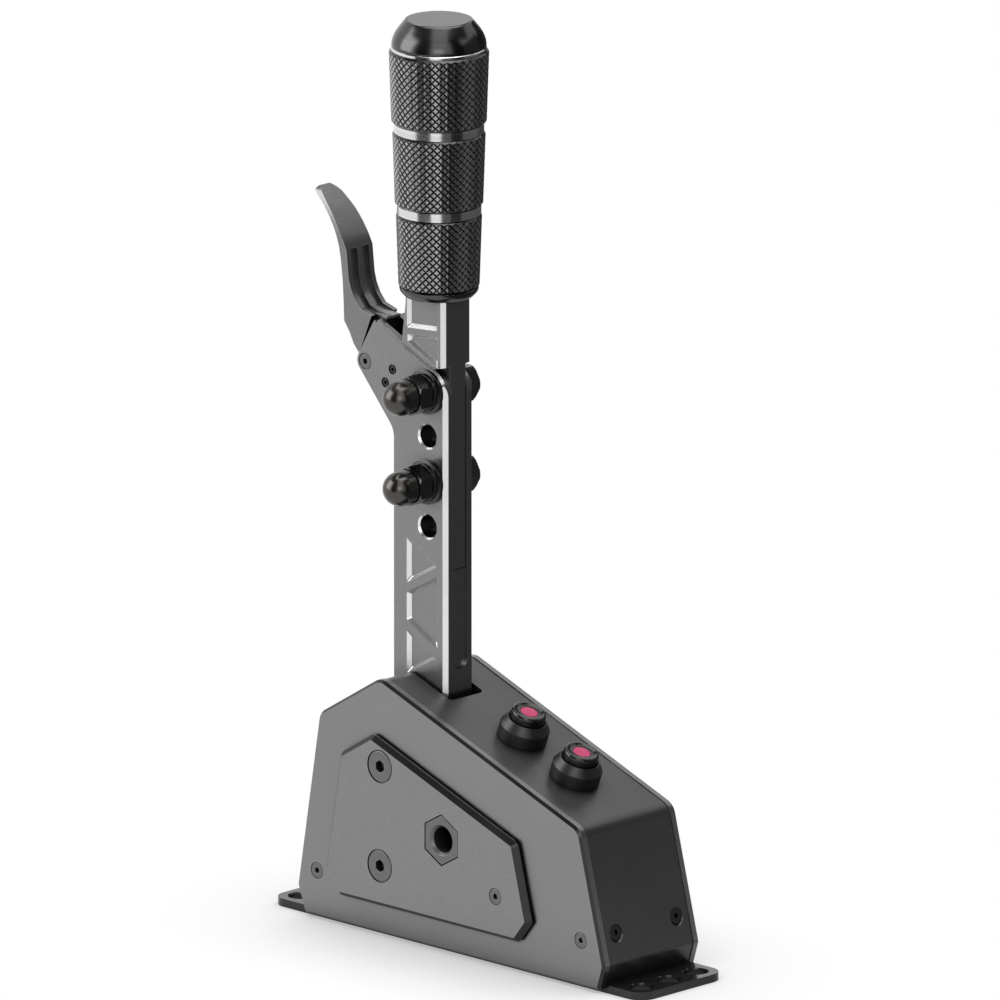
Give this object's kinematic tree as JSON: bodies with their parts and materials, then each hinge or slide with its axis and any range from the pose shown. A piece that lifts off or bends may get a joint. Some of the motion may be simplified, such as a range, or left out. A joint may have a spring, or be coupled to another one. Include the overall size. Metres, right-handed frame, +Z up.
{
  "type": "sim racing gear shifter",
  "caption": "Sequential gear shifter for a sim racing rig: a sprung lever with knurled grip and finger trigger, in a wedge-shaped metal housing with push buttons.",
  "frame": {"origin": "centre of the bottom plate's underside, which is the middle of its mounting holes", "axes": "+X towards the driver and the buttons, +Y to the driver's right, +Z up along the lever"},
  "size_m": [0.188, 0.0566, 0.3402],
  "materials": {
    "plate_grey": "satin dark grey anodised",
    "cover_black": "satin black",
    "base_black": "satin black anodised",
    "lever_grey": "satin dark grey anodised",
    "block_metal": "as machined",
    "shaft_steel": "ground",
    "bearing_steel": "polished",
    "spring_steel": "drawn wire",
    "screw_black": "black oxide",
    "screw_grey": "dark zinc",
    "bolt_black": "glossy black",
    "stop_rubber": "matt",
    "board_green": "solder mask",
    "standoff_brass": "turned",
    "socket_steel": "plated",
    "button_black": "satin",
    "cap_black": "glossy",
    "lens_pink": "lit from below",
    "switch_black": "moulded",
    "magnet_nickel": "nickel plated",
    "grip_black": "knurled, black anodised",
    "ring_bright": "turned bright",
    "grip_end": "turned, dark anodised",
    "trigger_grey": "satin grey anodised"
  },
  "bodies": {
    "base": {"bottom_plate": "base_black", "left_side_plate": "plate_grey", "right_side_plate": "plate_grey", "left_raised_panel": "plate_grey", "right_raised_panel": "plate_grey", "top_cover": "cover_black", "front_block": "block_metal", "rear_block": "block_metal", "bottom_screws": "screw_black", "side_screws": "screw_grey", "driver_end_screws": "screw_black", "panel_screws": "screw_grey", "pivot_screws": "screw_grey", "stop_screws": "screw_grey", "hex_adjusters": "screw_grey", "pivot_axle": "shaft_steel", "pivot_spacers": "block_metal", "stop_shaft": "shaft_steel", "stop_sleeve": "stop_rubber", "adjuster_block": "block_metal", "spring_post": "block_metal", "spring_rod": "shaft_steel", "far_spring": "spring_steel", "near_spring": "spring_steel", "circuit_board": "board_green", "board_standoffs": "standoff_brass", "sensor_board": "board_green", "port_board": "board_green", "data_socket": "socket_steel", "button_1_housing": "button_black", "button_2_housing": "button_black", "button_nuts": "button_black", "button_switches": "switch_black", "button_1_spring": "spring_steel", "button_2_spring": "spring_steel"},
    "lever": {"lever_bar": "lever_grey", "lever_bearings": "bearing_steel", "angle_magnet": "magnet_nickel", "grip_stem": "lever_grey", "clamp_bolts": "bolt_black", "clamp_washers": "bolt_black", "clamp_nuts": "bolt_black", "grip_core": "shaft_steel", "grip_collar": "grip_end", "lower_sleeve": "grip_black", "middle_sleeve": "grip_black", "upper_sleeve": "grip_black", "grip_rings": "ring_bright", "grip_cap": "grip_end", "trigger_switch": "switch_black", "switch_screws": "screw_black", "trigger_pivot": "screw_grey", "trigger_spring": "spring_steel"},
    "trigger": {"trigger": "trigger_grey"},
    "button_1": {"button_1_cap": "cap_black", "button_1_lens": "lens_pink"},
    "button_2": {"button_2_cap": "cap_black", "button_2_lens": "lens_pink"}
  },
  "joints": [
    {"name": "lever_swing", "type": "hinge", "parent": "base", "child": "lever", "pos_m": [-0.0321, 0, 0.0277], "axis": [0, 1, 0], "range_deg": [-3, 3], "stiffness_Nm_per_rad": 110, "deforming": ["far_spring", "near_spring"]},
    {"name": "trigger_pull", "type": "hinge", "parent": "lever", "child": "trigger", "pos_m": [-0.0598, 0, 0.208], "axis": [0, 1, 0], "range_deg": [0, 7], "stiffness_Nm_per_rad": 0.5, "springref_deg": -11.46, "deforming": ["trigger_spring"]},
    {"name": "button_1_press", "type": "slide", "parent": "base", "child": "button_1", "axis": [-0.347, 0, -0.9379], "range_m": [0, 0.0015], "stiffness_N_per_m": 400, "springref_m": -0.003, "deforming": ["button_1_spring"]},
    {"name": "button_2_press", "type": "slide", "parent": "base", "child": "button_2", "axis": [-0.347, 0, -0.9379], "range_m": [0, 0.0015], "stiffness_N_per_m": 400, "springref_m": -0.003, "deforming": ["button_2_spring"]}
  ]
}
